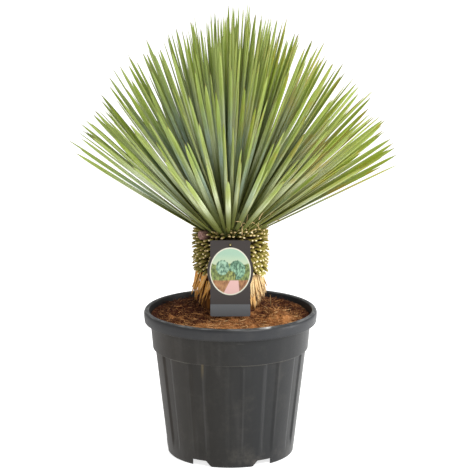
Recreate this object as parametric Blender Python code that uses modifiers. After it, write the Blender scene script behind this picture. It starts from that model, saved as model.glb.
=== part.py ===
"""Potted beaked yucca, as a grower sells it.

A ribbed nursery pot holds a bed of coir, and a short trunk stands in the coir. The trunk's upper
part is studded with the stubs of cut leaves, dry leaf bases hang round its lower part, and the
crown of stiff narrow leaves stands on top. A card label hangs from one of the stubs.

Lengths are in metres, +Z is up, and the origin is on the pot's axis at the level of the floor.
The front, where the label hangs, faces -Y.
"""

import math
import random

import bmesh
import bpy
from mathutils import Matrix, Vector

FRONT = -math.pi / 2  # the angle of the front, counted from +X
FULL_TURN = 2 * math.pi
GOLDEN_ANGLE = math.pi * (3 - math.sqrt(5))
FIT_GAP = 0.0003  # kept between pieces that rest on each other
MERGE_LIMIT = 0.00005

# Pot: outer radii and heights, from the floor up
POT_HEIGHT = 0.259
POT_STEPS = 60
POT_EDGE = 0.0005  # the rise of a square step in the section
RIM_RADIUS = 0.1525
RIM_CREST_RADIUS = 0.1475
RIM_DEPTH = 0.0215
RIM_SKIN = 0.0029
RIM_HOLLOW_TOP = 0.0055  # below the crest
RIM_WIDEST = 0.0110  # below the crest
RIM_ROLL = 0.0030
RIM_LIP = 0.0062
NECK_RADIUS = 0.1415
NECK_WALL = 0.0022
COLLAR_HEIGHT = 0.190
COLLAR_RADIUS = 0.1368
BODY_TOP_RADIUS = 0.1333
FOOT_RADIUS = 0.1115
POT_WALL = 0.0034
FOOT_WALL = 0.0042
FLOOR_UNDERSIDE = 0.0125
FLOOR_TOP = 0.0155
FOOT_EDGE = (0.0012, 0.0020)  # how far the foot's lower edge is cut back, inwards and upwards

PANEL_COUNT = 12
PANEL_WIDTH = math.radians(17.0)
PANEL_EDGE = math.radians(1.2)
PANEL_PHASE = math.radians(18.3)
PANEL_DEPTH = 0.0019
PANEL_FADE_LOW = 0.022
PANEL_FADE_HIGH = 0.036

FOOT_PHASE = FRONT + math.radians(1.4)
SLANTED_FEET = 3  # each stands between two feet with upright sides
NOTCH_HEIGHT = 0.0112
NOTCH_NEAR = math.radians(23.3)  # from the middle of the slanted foot, at the notch's top
NOTCH_FAR = math.radians(38.3)
NOTCH_SLANT = math.radians(4.8)
NOTCH_REACH = (0.016, 0.014)  # how far its cutter stands out inside and outside the foot ring
NOTCH_BELOW = 0.004  # how far its cutter reaches below the floor
DRAIN_COUNT = 6
DRAIN_RADIUS = 0.0065
MIDDLE_DRAIN_RADIUS = 0.0078
DRAIN_CIRCLE = 0.082
DRAIN_SIDES = 10

# Coir bed
SOIL_STEPS = 36
SOIL_LEVEL = 0.2445
SOIL_TILT = 0.026  # the coir lies higher at the back
SOIL_GAP = 0.0006
SOIL_HOLE_GAP = 0.0008
SOIL_RINGS = (0.0600, 0.0715, 0.0840, 0.0970, 0.1100, 0.1240)
SOIL_CLODS = (  # x, y, rise, spread
    (-0.080, -0.008, 0.020, 0.026),
    (0.086, -0.046, 0.021, 0.026),
    (0.020, 0.104, 0.006, 0.040),
    (-0.040, -0.105, 0.004, 0.035),
    (0.112, 0.035, -0.006, 0.030),
)
SOIL_MOUND_RISE = 0.016
SOIL_MOUND_SPREAD = 0.030
SOIL_RELIEF = 0.0016
SOIL_CROSS_RELIEF = 0.0011
SKIRT_REACH = 0.075  # inside this the coir stays under the dry leaf bases
SKIRT_SOIL_TOP = 0.2610
SKIRT_SOIL_SLOPE = 0.9  # the steepest rise of the coir outside it

# Trunk and the stubs of its cut leaves
TRUNK_RADIUS = 0.050
TRUNK_FOOT = 0.150
TRUNK_TOP = 0.3946
TRUNK_TOP_EDGE = 0.003
TRUNK_FOOT_EDGE = 0.012
STUB_COLUMNS = 24
STUB_ROWS = 10
STUB_ROW_PITCH = 0.0062
STUB_TOP = 0.3920
STUB_REACH = 0.0195
STUB_SHORTEST = 0.86  # of the reach
STUB_TIP_WIDTH = 0.0060
STUB_TIP_THICKNESS = 0.0022
STUB_TIP_SPREAD = 0.15
STUB_SWING = 0.0012
STUB_INSET = 0.0014
STUB_SEED = 3
STUB_DROOP_LOW = math.radians(-27.0)
STUB_DROOP_TOP = math.radians(6.0)
STUB_DROOP_GATHER = 1.6  # above 1, only the lowest stubs droop much
STUB_DROOP_SPREAD = math.radians(5.0)
LABEL_STUB_REACH = 0.0272
LABEL_STUB_WIDTH = 0.0032
STALK_STUMP_ANGLE = math.radians(-142.0)
STALK_STUMP_HEIGHT = 0.3860
STALK_STUMP_RADIUS = 0.0080
STALK_STUMP_ROOT_RADIUS = 0.0084
STALK_STUMP_REACH = 0.0156
STALK_STUMP_SINK = 0.004
STALK_STUMP_SIDES = 10

# Dry leaf bases round the foot of the trunk
SKIRT_INNER_RADIUS = 0.0509
SKIRT_OUTER_RADIUS = 0.0548
SKIRT_LOW = 0.2640
SKIRT_HIGH = 0.3285
SKIRT_SHOULDER = (0.002, 0.006)  # how far the sleeve's top edge is cut back, inwards and downwards
SKIRT_FLARE = 0.001
SKIRT_STEPS = 24
SKIRT_TIERS = (  # top height, length, root radius, tip radius, count
    (0.3260, 0.041, 0.0545, 0.0662, 25),
    (0.3120, 0.034, 0.0545, 0.0676, 25),
)
STRIP_WIDTH = 0.0104
STRIP_THICKNESS = 0.0020
STRIP_SINK = 0.003
STRIP_BOW = 0.0028
STRIP_STATIONS = ((0.0, 0.9), (0.5, 1.0), (0.88, 0.62))  # along, width
STRIP_THINNING = 0.45  # of the thickness, towards the strip's end
STRIP_TURN = 0.12  # of the angle between two strips, that one may stand out of its place
STRIP_SLANT = 0.05
SKIRT_SEED = 5

# Crown
LEAF_COUNT = 228
LEAF_SEED = 11
CROWN_BOTTOM = TRUNK_TOP + FIT_GAP
CROWN_RADIUS = 0.0520
CROWN_SHOULDER = 0.4200
CROWN_DOME_RISE = 0.0350
CROWN_STEPS = 20
CROWN_FOOT_EDGE = 0.002
DOME_TURNS = (0, 22, 44, 66, 90)  # degrees from the top of the dome
DOME_SHARE = 0.55  # of the leaves, which stand on the dome and not round its side
DOME_INSET = 0.002
LOWEST_ROOT = 0.0065  # above the crown's bottom
LOWEST_LEAF_RISE = math.radians(29.6)
CROWN_LEAN = math.radians(3.4)  # towards +X
SHORTEST_LEAF = 0.277
LONGEST_LEAF = 0.341
LEAF_LENGTH_PEAK = 1.7  # above 1, only the leaves near the bud are much longer than the oldest
LEAF_SPREAD = 0.04
CROWN_CROWDING = 1.12  # above 1, more of the leaves stand upright
LEAF_WIDTH = 0.0102
BUD_LEAF_WIDTH = 0.72  # of a full leaf's, in the bud
FULL_WIDTH_AGE = 0.2
LEAF_ROOT_WIDTH = 0.0060
LEAF_ROOT_THICKNESS = 0.0022
LEAF_THICKNESS = 0.0019
LEAF_ROOT_SINK = 0.008
LEAF_STATIONS = ((0.45, 1.0, 1.0), (0.86, 0.80, 0.75))  # along, width, thickness
LEAF_RIDGE_SHARE = 0.3  # of the thickness, above the leaf's edges
LEAF_TWIST = math.radians(58.0)
LEAF_STRAY = math.radians(1.7)
LEAF_BEND = 0.012

# Label
LABEL_WIDTH = 0.069
LABEL_HEIGHT = 0.133
LABEL_THICKNESS = 0.0008
LABEL_CORNER = 0.003
LABEL_OVAL_WIDTH = 0.079
LABEL_OVAL_HEIGHT = 0.092
LABEL_OVAL_BELOW_TOP = 0.054
LABEL_HOLE_RADIUS = 0.0040
LABEL_HOLE_BELOW_TOP = 0.0085
LABEL_HANG = 0.0009  # how far the hole's middle lies under the stub's
LABEL_STAND_OFF = 0.0725
LABEL_LEAN = math.radians(2.5)
LABEL_ARC_STEPS = 5
LABEL_OVAL_STEPS = 9
LABEL_HOLE_SIDES = 16


def clear_scene():
    """Empties the scene, so that the script gives the same object each time it runs."""
    for item in list(bpy.data.objects):
        bpy.data.objects.remove(item)


def new_collection(name):
    """A collection of that name in the scene."""
    made = bpy.data.collections.new(name)
    bpy.context.scene.collection.children.link(made)
    return made


def new_material(name, colour, roughness, metallic=0.0):
    """A Principled BSDF material."""
    made = bpy.data.materials.new(name)
    made.use_nodes = True
    shader = made.node_tree.nodes["Principled BSDF"]
    shader.inputs["Base Color"].default_value = (*colour, 1.0)
    shader.inputs["Roughness"].default_value = roughness
    shader.inputs["Metallic"].default_value = metallic
    return made


def new_object(name, mesh, collection, material=None):
    """An object that shows mesh, in that collection."""
    made = bpy.data.objects.new(name, mesh)
    collection.objects.link(made)
    if material:
        mesh.materials.clear()
        mesh.materials.append(material)
    return made


def mesh_from(bm, name):
    """The bmesh as a mesh, freed."""
    made = bpy.data.meshes.new(name)
    bm.to_mesh(made)
    bm.free()
    return made


def evaluated_mesh(item, name):
    """The object's mesh with its modifiers applied. The object is then removed."""
    bpy.context.view_layer.update()
    graph = bpy.context.evaluated_depsgraph_get()
    made = bpy.data.meshes.new_from_object(item.evaluated_get(graph))
    made.name = name
    bpy.data.objects.remove(item)
    return made


def polar(radius, angle, height):
    """The point at that radius and angle round the pot's axis."""
    return Vector((radius * math.cos(angle), radius * math.sin(angle), height))


def turned_mesh(name, profile, steps):
    """A profile of (radius, height) points turned round Z. Its outer side runs from top to bottom.

    A profile with no end on the axis is closed, and gives a ring.
    """
    bm = bmesh.new()
    points = [bm.verts.new((radius, 0, height)) for radius, height in profile]
    if profile[0][0] > 0:
        points.append(points[0])
    for near, far in zip(points, points[1:]):
        bm.edges.new((near, far))
    item = new_object(name, mesh_from(bm, name), bpy.context.scene.collection)
    screw = item.modifiers.new("turn", "SCREW")
    screw.steps = screw.render_steps = steps
    screw.use_merge_vertices = True
    screw.merge_threshold = MERGE_LIMIT
    return evaluated_mesh(item, name)


def union(base, others, name):
    """base and all objects of the collection others as one solid. The others are removed."""
    join = base.modifiers.new("join", "BOOLEAN")
    join.operation = "UNION"
    join.operand_type = "COLLECTION"
    join.collection = others
    join.solver = "EXACT"
    joined = evaluated_mesh(base, name)
    for item in list(others.objects):
        bpy.data.objects.remove(item)
    bpy.data.collections.remove(others)
    return joined


def body_radius(height):
    """The pot's outer radius on its raised panels."""
    return FOOT_RADIUS + (BODY_TOP_RADIUS - FOOT_RADIUS) * height / COLLAR_HEIGHT


def pot_profile():
    """The pot's section: up the inner wall, over the hollow rim, down the outside and in under the floor."""
    rim_low = POT_HEIGHT - RIM_DEPTH
    inwards, upwards = FOOT_EDGE
    return [
        (0, FLOOR_TOP),
        (body_radius(FLOOR_TOP) - POT_WALL, FLOOR_TOP),
        (BODY_TOP_RADIUS - POT_WALL, COLLAR_HEIGHT - 0.001),
        (NECK_RADIUS - NECK_WALL, rim_low),
        (RIM_CREST_RADIUS - RIM_LIP, POT_HEIGHT - RIM_ROLL),
        (RIM_CREST_RADIUS, POT_HEIGHT),
        (RIM_RADIUS - 2 * POT_EDGE, POT_HEIGHT - RIM_ROLL),
        (RIM_RADIUS, POT_HEIGHT - RIM_WIDEST),
        (RIM_RADIUS - 2 * POT_EDGE, rim_low + POT_EDGE),
        (RIM_RADIUS - RIM_SKIN, rim_low),
        (RIM_RADIUS - RIM_SKIN, POT_HEIGHT - RIM_HOLLOW_TOP),
        (NECK_RADIUS + 2 * POT_EDGE, POT_HEIGHT - RIM_HOLLOW_TOP),
        (NECK_RADIUS, rim_low),
        (COLLAR_RADIUS, COLLAR_HEIGHT + POT_EDGE),
        (BODY_TOP_RADIUS, COLLAR_HEIGHT),
        (body_radius(PANEL_FADE_HIGH), PANEL_FADE_HIGH),
        (body_radius(PANEL_FADE_LOW), PANEL_FADE_LOW),
        (FOOT_RADIUS, upwards),
        (FOOT_RADIUS - inwards, 0),
        (FOOT_RADIUS - FOOT_WALL, 0),
        (FOOT_RADIUS - FOOT_WALL, FLOOR_UNDERSIDE),
        (0, FLOOR_UNDERSIDE),
    ]


def sink_panels(mesh):
    """Sinks the flutes between the pot's raised panels, with the ring's points drawn to the panels' edges."""
    pitch = FULL_TURN / PANEL_COUNT
    step = FULL_TURN / POT_STEPS
    half = PANEL_WIDTH / 2
    stations = (  # where each of a panel's points goes, and whether it is sunk
        (-half, False),
        (0.0, False),
        (half, False),
        (half + PANEL_EDGE, True),
        (pitch - half - PANEL_EDGE, True),
    )
    first = round(PANEL_PHASE / step) - 1
    low, high = PANEL_FADE_LOW - MERGE_LIMIT, COLLAR_HEIGHT + POT_EDGE + MERGE_LIMIT
    for vertex in mesh.vertices:
        radius = math.hypot(vertex.co.x, vertex.co.y)
        height = vertex.co.z
        if not low < height < high or radius < body_radius(height) - POT_WALL / 2:
            continue
        index = round(math.atan2(vertex.co.y, vertex.co.x) / step) - first
        panel, station = divmod(index, len(stations))
        offset, sunk = stations[station]
        on_panel = PANEL_FADE_LOW + MERGE_LIMIT < height < COLLAR_HEIGHT + MERGE_LIMIT
        depth = PANEL_DEPTH if sunk and on_panel else 0
        vertex.co = polar(radius - depth, PANEL_PHASE + panel * pitch + offset, height)


def notch_cutter(angle, slant_side, cutters):
    """A block that cuts one notch out of the foot ring. Its side towards slant_side leans."""
    reach = (FOOT_RADIUS - NOTCH_REACH[0], FOOT_RADIUS + NOTCH_REACH[1])
    half = (NOTCH_FAR - NOTCH_NEAR) / 2 * FOOT_RADIUS
    lean = NOTCH_SLANT * FOOT_RADIUS * (NOTCH_HEIGHT + NOTCH_BELOW) / NOTCH_HEIGHT
    bm = bmesh.new()
    bmesh.ops.create_cube(bm, size=1.0)
    for vertex in bm.verts:
        low = vertex.co.z < 0
        along = half * (1 if vertex.co.y > 0 else -1)
        if low and along * slant_side > 0:
            along += slant_side * lean
        vertex.co = (reach[vertex.co.x > 0], along, -NOTCH_BELOW if low else NOTCH_HEIGHT)
    item = new_object("notch_cutter", mesh_from(bm, "notch_cutter"), cutters)
    item.rotation_euler.z = angle
    return item


def drain_cutter(radius, angle, size, cutters):
    """A rod that cuts one drain hole through the pot's floor."""
    bm = bmesh.new()
    bmesh.ops.create_cone(
        bm, cap_ends=True, segments=DRAIN_SIDES, radius1=size, radius2=size, depth=4 * POT_WALL
    )
    item = new_object("drain_cutter", mesh_from(bm, "drain_cutter"), cutters)
    item.location = polar(radius, angle, (FLOOR_UNDERSIDE + FLOOR_TOP) / 2)
    return item


def make_pot(collection, cutters):
    """The nursery pot: a thin shell with a hollow rolled rim, fluted sides, notched feet and drain holes."""
    mesh = turned_mesh("pot", pot_profile(), POT_STEPS)
    sink_panels(mesh)
    plastic = new_material("pot_plastic", (0.062, 0.064, 0.068), 0.42)
    pot = new_object("pot", mesh, collection, plastic)
    middle = (NOTCH_NEAR + NOTCH_FAR) / 2
    for foot in range(SLANTED_FEET):
        centre = FOOT_PHASE + foot * FULL_TURN / SLANTED_FEET
        for side in (-1, 1):
            notch_cutter(centre + side * middle, -side, cutters)
    for hole in range(DRAIN_COUNT):
        drain_cutter(DRAIN_CIRCLE, FOOT_PHASE + hole * FULL_TURN / DRAIN_COUNT, DRAIN_RADIUS, cutters)
    drain_cutter(0, 0, MIDDLE_DRAIN_RADIUS, cutters)
    for cutter in cutters.objects:
        cutter.hide_render = True
        cutter.display_type = "WIRE"
    cut = pot.modifiers.new("notches and drain holes", "BOOLEAN")
    cut.operation = "DIFFERENCE"
    cut.operand_type = "COLLECTION"
    cut.collection = cutters
    cut.solver = "EXACT"
    return pot


def inner_radius(height):
    """The pot's inner radius at that height, read from its section."""
    wall = pot_profile()[1:5]
    for (low_radius, low), (high_radius, high) in zip(wall, wall[1:]):
        if height <= high:
            share = (height - low) / (high - low)
            return low_radius + share * (high_radius - low_radius)
    return wall[-1][0]


def soil_height(x, y):
    """The coir's surface: a mound round the trunk, clods and a fine relief."""
    radius = math.hypot(x, y)
    height = SOIL_LEVEL + SOIL_TILT * y
    height += SOIL_MOUND_RISE * math.exp(-(((radius - TRUNK_RADIUS) / SOIL_MOUND_SPREAD) ** 2))
    for clod_x, clod_y, rise, spread in SOIL_CLODS:
        away = math.hypot(x - clod_x, y - clod_y)
        height += rise * math.exp(-((away / spread) ** 2))
    height += SOIL_RELIEF * math.sin(x * 210 + 1.3) * math.sin(y * 190 + 0.4)
    height += SOIL_CROSS_RELIEF * math.sin(x * 430 - y * 260)
    cap = SKIRT_SOIL_TOP + max(0.0, radius - SKIRT_REACH) * SKIRT_SOIL_SLOPE
    return min(height, cap)


def make_soil(collection):
    """The coir bed: it fills the pot, and has a plain hole that the trunk stands in."""
    hole = TRUNK_RADIUS + SOIL_HOLE_GAP
    bottom = FLOOR_TOP + FIT_GAP
    edge = inner_radius(SOIL_LEVEL) - SOIL_GAP
    side_heights = (POT_HEIGHT - RIM_DEPTH, COLLAR_HEIGHT - 0.001)
    profile = [(0, TRUNK_FOOT - FIT_GAP), (hole, TRUNK_FOOT - FIT_GAP), (hole, SOIL_LEVEL)]
    profile += [(radius, SOIL_LEVEL) for radius in SOIL_RINGS]
    profile += [(edge, SOIL_LEVEL)]
    profile += [(inner_radius(height) - SOIL_GAP, height) for height in side_heights]
    profile += [(inner_radius(bottom) - SOIL_GAP, bottom), (0, bottom)]
    mesh = turned_mesh("soil", profile, SOIL_STEPS)
    for vertex in mesh.vertices:
        if abs(vertex.co.z - SOIL_LEVEL) < MERGE_LIMIT:
            height = soil_height(vertex.co.x, vertex.co.y)
            radius = math.hypot(vertex.co.x, vertex.co.y)
            if radius > edge - MERGE_LIMIT:
                radius = inner_radius(height) - SOIL_GAP
            vertex.co = polar(radius, math.atan2(vertex.co.y, vertex.co.x), height)
    coir = new_material("coir", (0.155, 0.070, 0.034), 0.95)
    return new_object("soil", mesh, collection, coir)


def trunk_profile():
    """The trunk's section, with a ring at each row of stubs."""
    rows = [(TRUNK_RADIUS, STUB_TOP - row * STUB_ROW_PITCH) for row in range(STUB_ROWS + 1)]
    edge = TRUNK_FOOT_EDGE
    foot = [(TRUNK_RADIUS, TRUNK_FOOT + edge), (TRUNK_RADIUS - edge, TRUNK_FOOT), (0, TRUNK_FOOT)]
    return [(0, TRUNK_TOP), (TRUNK_RADIUS - TRUNK_TOP_EDGE, TRUNK_TOP), *rows, *foot]


def stub_height(height):
    """How far up the studded part of the trunk a height lies, from 0 to 1."""
    return 1 - (STUB_TOP - height) / (STUB_ROWS * STUB_ROW_PITCH)


def make_stem(collection):
    """The trunk, with a spiral of cut leaf stubs raised from its surface, and one cut flower stalk."""
    mesh = turned_mesh("stem", trunk_profile(), STUB_COLUMNS)
    column = FULL_TURN / STUB_COLUMNS
    phase = FRONT - column * 3 / 4
    for vertex in mesh.vertices:
        row = round((STUB_TOP - vertex.co.z) / STUB_ROW_PITCH)
        shear = column / 2 * min(max(row, 0), STUB_ROWS)
        vertex.co = Matrix.Rotation(phase + shear, 4, "Z") @ vertex.co
    bm = bmesh.new()
    bm.from_mesh(mesh)
    bm.normal_update()
    low = STUB_TOP - STUB_ROWS * STUB_ROW_PITCH
    cells = [
        face
        for face in bm.faces
        if abs(face.normal.z) < 0.2 and low < face.calc_center_median().z < STUB_TOP
    ]
    bmesh.ops.inset_individual(bm, faces=cells, thickness=STUB_INSET)
    rng = random.Random(STUB_SEED)
    for tip in cells:
        shape_stub(tip, rng)
    bmesh.ops.triangulate(bm, faces=cells)
    stem = new_object("stem", mesh_from(bm, "stem"), collection)
    stump = new_collection("stalk_stump")
    add_stalk_stump(stump)
    joined = union(stem, stump, "stem")
    bark = new_material("leaf_stub", (0.150, 0.148, 0.046), 0.75)
    return new_object("stem", joined, collection, bark)


def shape_stub(tip, rng):
    """Draws an inset face of the trunk out into the flat cut tip of one leaf stub."""
    middle = tip.calc_center_median()
    angle = math.atan2(middle.y, middle.x)
    outward = Vector((math.cos(angle), math.sin(angle), 0))
    sideways = Vector((-math.sin(angle), math.cos(angle), 0))
    up = stub_height(middle.z)
    droop = STUB_DROOP_LOW * (1 - up) ** STUB_DROOP_GATHER + STUB_DROOP_TOP * up
    droop += rng.uniform(-STUB_DROOP_SPREAD, STUB_DROOP_SPREAD)
    reach = STUB_REACH * rng.uniform(STUB_SHORTEST, 1.0)
    width = STUB_TIP_WIDTH * (1 + rng.uniform(-STUB_TIP_SPREAD, STUB_TIP_SPREAD))
    thickness = STUB_TIP_THICKNESS * (1 + rng.uniform(-STUB_TIP_SPREAD, STUB_TIP_SPREAD))
    swing = rng.uniform(-STUB_SWING, STUB_SWING)
    if abs(angle - FRONT) < math.radians(2) and middle.z > STUB_TOP - STUB_ROW_PITCH:
        droop, reach, swing = 0.0, LABEL_STUB_REACH, 0.0
        width, thickness = LABEL_STUB_WIDTH, STUB_TIP_THICKNESS
    centre = middle + outward * reach * math.cos(droop) + Vector((0, 0, reach * math.sin(droop)))
    centre += sideways * swing
    for vertex in tip.verts:
        away = vertex.co - middle
        across = math.copysign(width / 2, away.dot(sideways))
        above = math.copysign(thickness / 2, away.z)
        vertex.co = centre + sideways * across + Vector((0, 0, above))


def add_stalk_stump(stump):
    """The cut end of an old flower stalk, among the top stubs."""
    outward = polar(1, STALK_STUMP_ANGLE, 0)
    inner = TRUNK_RADIUS - STALK_STUMP_SINK
    outer = TRUNK_RADIUS + STALK_STUMP_REACH
    bm = bmesh.new()
    bmesh.ops.create_cone(
        bm,
        cap_ends=True,
        segments=STALK_STUMP_SIDES,
        radius1=STALK_STUMP_ROOT_RADIUS,
        radius2=STALK_STUMP_RADIUS,
        depth=outer - inner,
    )
    item = new_object("stalk_stump", mesh_from(bm, "stalk_stump"), stump)
    item.rotation_mode = "QUATERNION"
    item.rotation_quaternion = outward.to_track_quat("Z", "Y")
    item.location = outward * (inner + outer) / 2 + Vector((0, 0, STALK_STUMP_HEIGHT))
    return item


def blade_mesh(name, sections):
    """A thin blade through (centre, side, face, half width, ridge, keel) sections, ending in a point.

    Each ring has an edge, a ridge, an edge and a keel, and the halves on both faces are split into
    triangles alike, so that a twisted blade's faces keep apart.
    """
    *rings, tip = sections
    bm = bmesh.new()
    loops = []
    for centre, side, face, half, ridge, keel in rings:
        corners = (centre - side * half, centre + face * ridge, centre + side * half, centre - face * keel)
        loops.append([bm.verts.new(corner) for corner in corners])
    for low, high in zip(loops, loops[1:]):
        for edge in (0, 2):
            for middle in (1, 3):
                bm.faces.new((low[edge], low[middle], high[middle]))
                bm.faces.new((low[edge], high[middle], high[edge]))
    point = bm.verts.new(tip)
    for corner in range(4):
        bm.faces.new((loops[-1][corner], loops[-1][(corner + 1) % 4], point))
    bm.faces.new(loops[0][:3])
    bm.faces.new((loops[0][0], loops[0][2], loops[0][3]))
    bmesh.ops.recalc_face_normals(bm, faces=bm.faces)
    return mesh_from(bm, name)


def make_skirt(collection):
    """The dry leaf bases: a sleeve round the trunk with two tiers of strips hanging from it."""
    inwards, downwards = SKIRT_SHOULDER
    profile = [
        (SKIRT_INNER_RADIUS, SKIRT_LOW),
        (SKIRT_INNER_RADIUS, SKIRT_HIGH),
        (SKIRT_OUTER_RADIUS - inwards, SKIRT_HIGH),
        (SKIRT_OUTER_RADIUS, SKIRT_HIGH - downwards),
        (SKIRT_OUTER_RADIUS + SKIRT_FLARE, SKIRT_LOW),
    ]
    sleeve = new_object("dry_leaf_skirt", turned_mesh("sleeve", profile, SKIRT_STEPS), collection)
    strips = new_collection("strips")
    rng = random.Random(SKIRT_SEED)
    for tier, (top, length, root, tip, count) in enumerate(SKIRT_TIERS):
        for index in range(count):
            place = index + tier / 2 + rng.uniform(-STRIP_TURN, STRIP_TURN)
            angle = place * FULL_TURN / count
            add_strip(strips, rng, angle, top, length, root, tip)
    joined = union(sleeve, strips, "dry_leaf_skirt")
    straw = new_material("straw", (0.560, 0.365, 0.140), 0.8)
    return new_object("dry_leaf_skirt", joined, collection, straw)


def add_strip(strips, rng, angle, top, length, root, tip):
    """One dry leaf base, which hangs down and stands a little away from the trunk."""
    reach = length * rng.uniform(0.86, 1.0)
    start = polar(root - STRIP_SINK, angle, top + rng.uniform(-0.002, 0.002))
    slant = rng.uniform(-STRIP_SLANT, STRIP_SLANT)
    end = polar(tip + rng.uniform(-0.0015, 0.001), angle + slant, start.z - reach)
    along = (end - start).normalized()
    side = polar(1, angle + math.pi / 2, 0)
    face = side.cross(along)
    bow = polar(STRIP_BOW, angle, 0)
    half = STRIP_WIDTH / 2 * rng.uniform(0.85, 1.05)
    sections = []
    for share, width in STRIP_STATIONS:
        centre = start.lerp(end, share) + bow * math.sin(math.pi * share)
        thick = STRIP_THICKNESS * (1 - STRIP_THINNING * share)
        sections.append((centre, side, face, half * width, thick / 2, thick / 2))
    new_object("strip", blade_mesh("strip", [*sections, end]), strips)


def leaf_root(age):
    """Radius and height of a leaf's root on the core. Age is 0 in the bud and 1 at the oldest leaf."""
    if age < DOME_SHARE:
        radius = (CROWN_RADIUS - DOME_INSET) * math.sqrt(age / DOME_SHARE)
        return radius, dome_height(radius)
    share = (age - DOME_SHARE) / (1 - DOME_SHARE)
    return CROWN_RADIUS, CROWN_SHOULDER - share * (CROWN_SHOULDER - CROWN_BOTTOM - LOWEST_ROOT)


def dome_height(radius):
    """The crown core's height at that radius."""
    return CROWN_SHOULDER + CROWN_DOME_RISE * math.sqrt(max(0.0, 1 - (radius / CROWN_RADIUS) ** 2))


def crown_leaves():
    """Each leaf's root, heading, side, length, width, twist and bend, from the bud outwards."""
    rng = random.Random(LEAF_SEED)
    lean = Matrix.Rotation(CROWN_LEAN, 3, "Y")
    for index in range(LEAF_COUNT):
        age = (index + 0.5) / LEAF_COUNT
        radius, height = leaf_root(age)
        angle = index * GOLDEN_ANGLE
        root = polar(radius, angle, height)
        rise = math.asin(1 - age**CROWN_CROWDING * (1 - math.sin(LOWEST_LEAF_RISE)))
        share = (rise - LOWEST_LEAF_RISE) / (math.pi / 2 - LOWEST_LEAF_RISE)
        rise += rng.uniform(-LEAF_STRAY, LEAF_STRAY)
        heading_angle = angle + rng.uniform(-LEAF_STRAY, LEAF_STRAY)
        heading = lean @ polar(math.cos(rise), heading_angle, math.sin(rise))
        side = lean @ polar(1, heading_angle + math.pi / 2, 0)
        length = SHORTEST_LEAF + (LONGEST_LEAF - SHORTEST_LEAF) * share**LEAF_LENGTH_PEAK
        length *= 1 + rng.uniform(-LEAF_SPREAD, LEAF_SPREAD)
        grown = min(1.0, age / FULL_WIDTH_AGE)
        width = LEAF_WIDTH * rng.uniform(0.86, 1.06) * (BUD_LEAF_WIDTH + (1 - BUD_LEAF_WIDTH) * grown)
        twist = rng.uniform(-LEAF_TWIST, LEAF_TWIST)
        bend = rng.uniform(-0.3, 1.0) * LEAF_BEND
        yield root, heading, side, length, width, twist, bend


def add_leaf(leaves, root, heading, side, length, width, twist, bend):
    """One stiff leaf: narrow at its root, widest near its middle, keeled below and pointed."""
    face = heading.cross(side)
    if face.z < 0:
        face = -face
    low = root - heading * LEAF_ROOT_SINK
    thin = LEAF_ROOT_THICKNESS
    share = LEAF_RIDGE_SHARE
    sections = [(low, side, face, LEAF_ROOT_WIDTH / 2, thin * share, thin * (1 - share))]
    for along, wide, deep in LEAF_STATIONS:
        turn = Matrix.Rotation(twist * along, 3, heading)
        centre = root + heading * length * along + face * bend * along**2
        thick = LEAF_THICKNESS * deep
        half = width / 2 * wide
        sections.append((centre, turn @ side, turn @ face, half, thick * share, thick * (1 - share)))
    tip = root + heading * length + face * bend
    new_object("leaf", blade_mesh("leaf", [*sections, tip]), leaves)


def make_crown(collection):
    """The crown: every leaf of the rosette, grown from one domed core."""
    dome = [CROWN_RADIUS * math.sin(math.radians(turn)) for turn in DOME_TURNS]
    profile = [(radius, dome_height(radius)) for radius in dome]
    profile += [(CROWN_RADIUS, CROWN_BOTTOM + CROWN_FOOT_EDGE)]
    profile += [(CROWN_RADIUS - CROWN_FOOT_EDGE, CROWN_BOTTOM), (0, CROWN_BOTTOM)]
    core = new_object("leaf_crown", turned_mesh("core", profile, CROWN_STEPS), collection)
    leaves = new_collection("leaves")
    for leaf in crown_leaves():
        add_leaf(leaves, *leaf)
    joined = union(core, leaves, "leaf_crown")
    green = new_material("leaf_green", (0.215, 0.290, 0.115), 0.5)
    return new_object("leaf_crown", joined, collection, green)


def make_label(collection):
    """The card label: a flat card with a hole, hung from the front stub of the top row."""
    outline = bpy.data.curves.new("plant_label", "CURVE")
    outline.dimensions = "2D"
    outline.fill_mode = "BOTH"
    outline.extrude = LABEL_THICKNESS / 2
    hole = [
        (
            LABEL_HOLE_RADIUS * math.cos(FULL_TURN * step / LABEL_HOLE_SIDES),
            LABEL_HOLE_RADIUS * math.sin(FULL_TURN * step / LABEL_HOLE_SIDES) - LABEL_HOLE_BELOW_TOP,
        )
        for step in range(LABEL_HOLE_SIDES)
    ]
    for ring in (card_ring(), hole):
        spline = outline.splines.new("POLY")
        spline.points.add(len(ring) - 1)
        for point, (x, y) in zip(spline.points, ring):
            point.co = (x, y, 0, 1)
        spline.use_cyclic_u = True
    item = new_object("plant_label", outline, collection)
    stand = Matrix.Rotation(math.pi / 2 - LABEL_LEAN, 4, "X")
    item.matrix_world = Matrix.Translation(label_top()) @ stand
    bpy.context.view_layer.update()
    place = item.matrix_world.copy()
    mesh = evaluated_mesh(item, "plant_label")
    bm = bmesh.new()
    bm.from_mesh(mesh)
    bmesh.ops.remove_doubles(bm, verts=bm.verts, dist=MERGE_LIMIT)
    mesh = mesh_from(bm, "plant_label")
    card = new_material("label_card", (0.105, 0.090, 0.105), 0.35)
    label = new_object("plant_label", mesh, collection, card)
    label.matrix_world = place
    return label


def label_top():
    """The middle of the card's top edge. The upper edge of its hole rests on the front stub."""
    stub = STUB_TOP - STUB_ROW_PITCH / 2
    return Vector((0, -LABEL_STAND_OFF, stub - LABEL_HANG + LABEL_HOLE_BELOW_TOP))


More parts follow.
